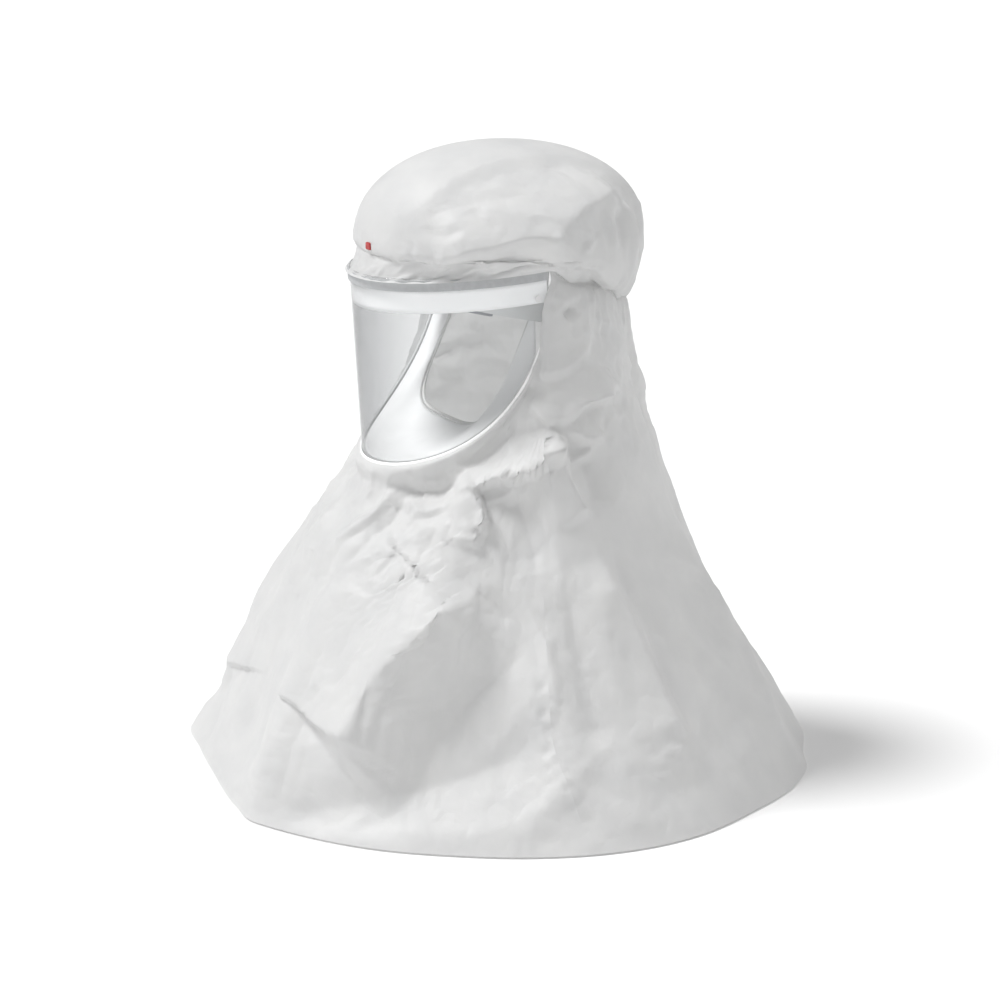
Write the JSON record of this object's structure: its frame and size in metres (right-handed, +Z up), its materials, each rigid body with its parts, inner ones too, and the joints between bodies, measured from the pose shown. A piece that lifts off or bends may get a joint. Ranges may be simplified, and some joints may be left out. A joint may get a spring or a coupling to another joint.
{
  "type": "respirator hood",
  "caption": "White fabric respirator hood with a wrap-round clear visor, flared shoulder cape, dial-sized head suspension and a rear hose socket feeding air to the brow.",
  "frame": {"origin": "centre of the bounding box's bottom face; the cape's hem stands on Z = 0", "axes": "+Z up, -Y is the wearer's front, +X is the wearer's left"},
  "size_m": [0.6298, 0.63, 0.6198],
  "materials": {
    "hood_fabric": "matt crisp non-woven film laminate",
    "elastic": "woven elastic",
    "tab_red": "plain woven tab",
    "lens": "clear thin sheet",
    "white_film": "white sheet",
    "grey_foam": "closed foam strip",
    "binding": "stitched binding tape",
    "white_plastic": "moulded",
    "seal_knit": "soft knit",
    "suspension_plastic": "moulded",
    "pad_foam": "foam with cloth face",
    "strap_plastic": "moulded",
    "steel": "plain",
    "dark_plastic": "moulded",
    "grey_plastic": "moulded",
    "duct_plastic": "thin moulded"
  },
  "bodies": {
    "hood": {"hood_crown": "hood_fabric", "cape_front": "hood_fabric", "cape_back": "hood_fabric", "nape_elastic": "elastic", "label_patch": "tab_red", "visor_lens": "lens", "visor_brow_band": "white_film", "visor_brow_seal": "grey_foam", "visor_edge_trim": "binding", "visor_rivets": "white_plastic", "face_seal": "seal_knit", "face_seal_elastic": "elastic", "headband": "suspension_plastic", "sweatband": "pad_foam", "band_guides": "suspension_plastic", "bracket_left": "suspension_plastic", "bracket_right": "suspension_plastic", "crown_strap_front": "strap_plastic", "crown_strap_rear": "strap_plastic", "crown_strap_centre": "strap_plastic", "strap_rivets": "white_plastic", "crown_pad": "pad_foam", "hose_socket": "grey_plastic", "clamp_ring": "dark_plastic", "inlet_elbow": "grey_plastic", "air_duct": "duct_plastic", "air_diffuser": "duct_plastic", "diffuser_foam": "grey_foam", "deflector_pins": "steel"},
    "cradle": {"rear_cradle": "suspension_plastic", "nape_pad": "pad_foam", "dial_cover": "suspension_plastic", "cover_screws": "steel"},
    "dial": {"dial_pinion": "dark_plastic", "dial_knob": "dark_plastic"},
    "strap_end_left": {"rack_left": "suspension_plastic"},
    "strap_end_right": {"rack_right": "suspension_plastic"},
    "deflector": {"air_deflector": "white_plastic"}
  },
  "joints": [
    {"name": "cradle_slide", "type": "slide", "parent": "hood", "child": "cradle", "axis": [0, -0.9744, 0.225], "range_m": [0, 0.0157]},
    {"name": "dial_turn", "type": "hinge", "parent": "cradle", "child": "dial", "pos_m": [0, 0, 0.466], "axis": [0, 0.9744, -0.225], "range_deg": [0, 180]},
    {"name": "left_strap_slide", "type": "slide", "parent": "cradle", "child": "strap_end_left", "axis": [-1, 0, 0], "range_m": [0, 0.0157]},
    {"name": "right_strap_slide", "type": "slide", "parent": "cradle", "child": "strap_end_right", "axis": [1, 0, 0], "range_m": [0, 0.0157]},
    {"name": "deflector_tilt", "type": "hinge", "parent": "hood", "child": "deflector", "pos_m": [0, -0.13078, 0.49062], "axis": [1, 0, 0], "range_deg": [-45, 8]}
  ],
  "couplings": [
    {"joint": "dial_turn", "follows": "cradle_slide", "rad_per_m": 200},
    {"joint": "left_strap_slide", "follows": "cradle_slide", "ratio": 1},
    {"joint": "right_strap_slide", "follows": "cradle_slide", "ratio": 1}
  ]
}
